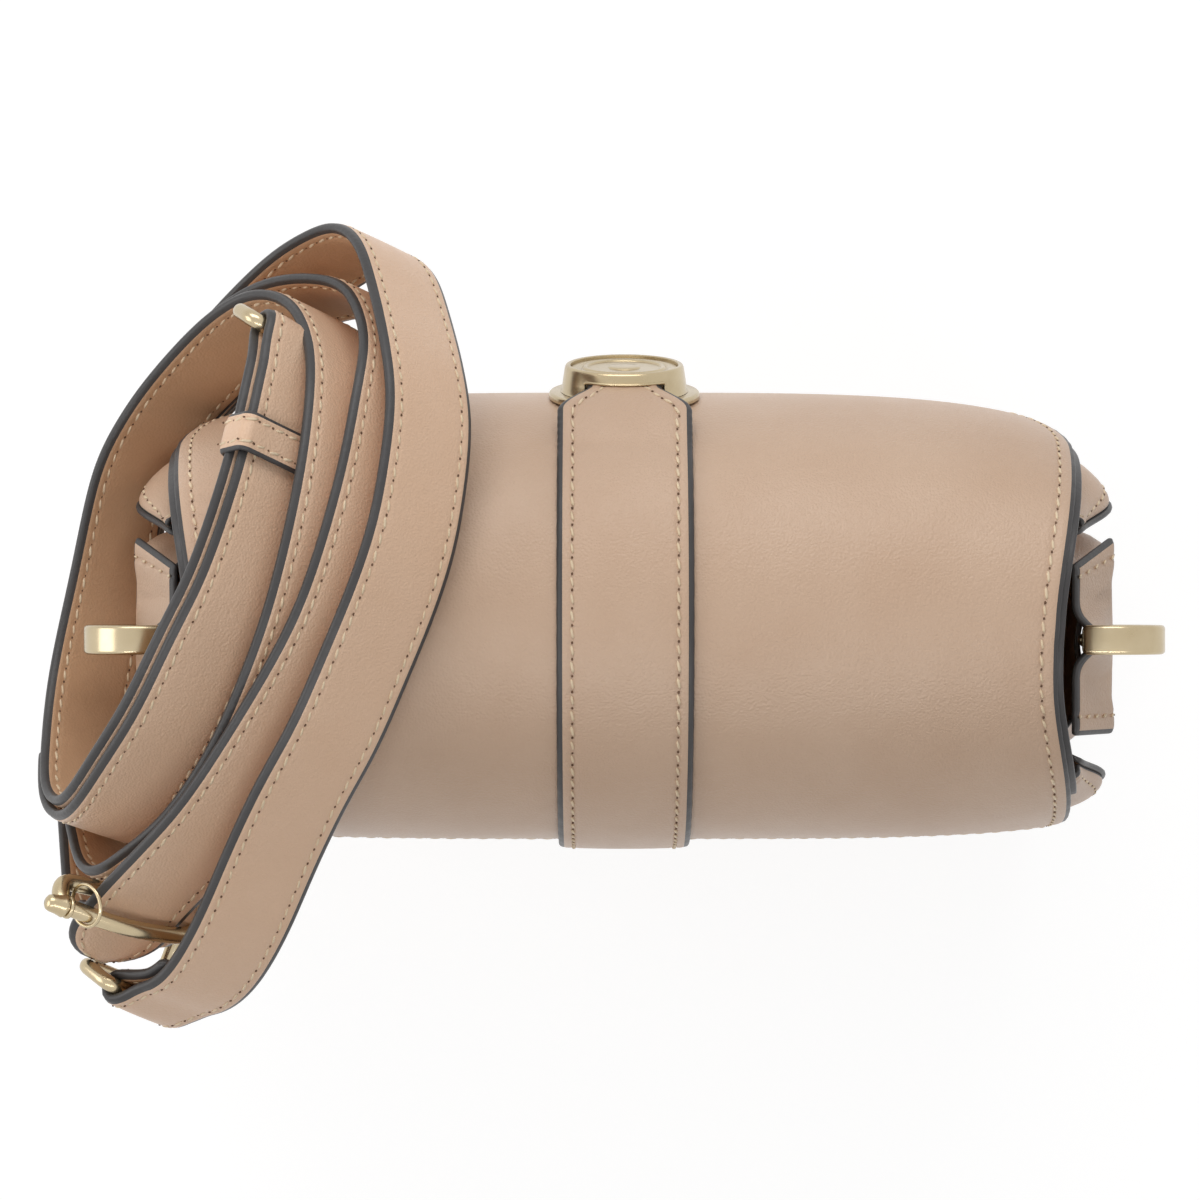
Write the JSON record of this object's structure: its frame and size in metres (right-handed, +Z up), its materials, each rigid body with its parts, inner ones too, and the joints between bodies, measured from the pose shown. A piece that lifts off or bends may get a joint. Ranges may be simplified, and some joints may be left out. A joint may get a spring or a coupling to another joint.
{
  "type": "shoulder bag",
  "caption": "Leather shoulder bag with a domed flap, a belt that runs into a round lock, side rings, and a long detachable strap wound in loops over one end.",
  "frame": {"origin": "middle of the bag's base, on the surface that it stands on", "axes": "+Z up, -Y to the front with the lock, +X to the end that the strap hangs over"},
  "size_m": [0.288, 0.2048, 0.1901],
  "materials": {
    "leather": "satin",
    "leather_inside": "matt",
    "cloth": "matt",
    "brass": "brushed",
    "steel": "brushed"
  },
  "bodies": {
    "root": {"base_panel": "leather", "front_panel": "leather", "back_panel": "leather", "gusset_left": "leather", "gusset_right": "leather", "lining": "cloth", "inner_pocket": "cloth", "magnet_socket": "steel", "tab_left": "leather", "tab_right": "leather", "flap_root": "leather", "belt_tail": "leather"},
    "flap": {"flap_outer": "leather", "flap_lining": "leather_inside", "belt": "leather", "lock_flange": "brass", "lock_drum": "brass", "lock_face": "brass", "lock_rivets": "steel", "magnet_stud": "steel"},
    "ring_l": {"ring_left": "brass"},
    "ring_r": {"ring_right": "brass"},
    "strap": {"strap_long": "leather", "strap_tail": "leather", "strap_short": "leather", "strap_studs": "brass", "hook_1_eye": "brass", "hook_2_eye": "brass"},
    "keeper_loop": {"keeper": "leather"},
    "slide_frame": {"slide_bar": "brass", "slide_wire": "brass"},
    "hook_1": {"hook_1_body": "brass"},
    "gate_1": {"hook_1_gate": "brass"},
    "hook_2": {"hook_2_body": "brass"},
    "gate_2": {"hook_2_gate": "brass"}
  },
  "joints": [
    {"name": "flap_hinge", "type": "hinge", "parent": "root", "child": "flap", "pos_m": [0, 0.0504, 0.1406], "axis": [-1, 0, 0], "range_deg": [0, 115]},
    {"name": "strap_lift", "type": "slide", "parent": "root", "child": "strap", "axis": [0.5, 0, 0.866], "range_m": [0, 0.33]},
    {"name": "ring_left_swing", "type": "hinge", "parent": "root", "child": "ring_l", "pos_m": [0.1194, 0.006, 0.128], "axis": [-0.2588, 0, 0.9659], "range_deg": [-30, 30]},
    {"name": "ring_right_swing", "type": "hinge", "parent": "root", "child": "ring_r", "pos_m": [-0.1194, 0.006, 0.128], "axis": [0.2588, 0, 0.9659], "range_deg": [-30, 30]},
    {"name": "keeper_slide", "type": "slide", "parent": "strap", "child": "keeper_loop", "axis": [0.2051, 0.9283, 0.3103], "range_m": [-0.003, 0.003]},
    {"name": "slide_swing", "type": "hinge", "parent": "strap", "child": "slide_frame", "pos_m": [0.11778, 0.07173, 0.14632], "axis": [-0.8225, 0.2442, -0.5137], "range_deg": [-1, 5]},
    {"name": "hook_1_swivel", "type": "hinge", "parent": "strap", "child": "hook_1", "pos_m": [0.07647, -0.06389, 0.14155], "axis": [0, 0, 1], "range_deg": [-30, 20]},
    {"name": "hook_1_gate_hinge", "type": "hinge", "parent": "hook_1", "child": "gate_1", "pos_m": [0.07268, -0.06422, 0.13315], "axis": [0.0872, -0.9962, 0], "range_deg": [0, 22], "stiffness_Nm_per_rad": 0.01, "springref_deg": -8.59},
    {"name": "hook_2_swivel", "type": "hinge", "parent": "strap", "child": "hook_2", "pos_m": [0.12171, 0.09647, 0.1212], "axis": [0, 0, 1], "range_deg": [-90, 90]},
    {"name": "hook_2_gate_hinge", "type": "hinge", "parent": "hook_2", "child": "gate_2", "pos_m": [0.12041, 0.0929, 0.1128], "axis": [0.9397, -0.342, 0], "range_deg": [0, 22], "stiffness_Nm_per_rad": 0.01, "springref_deg": -8.59}
  ],
  "couplings": [
    {"joint": "strap_lift", "follows": "flap_hinge", "m_per_rad": 0.16}
  ]
}
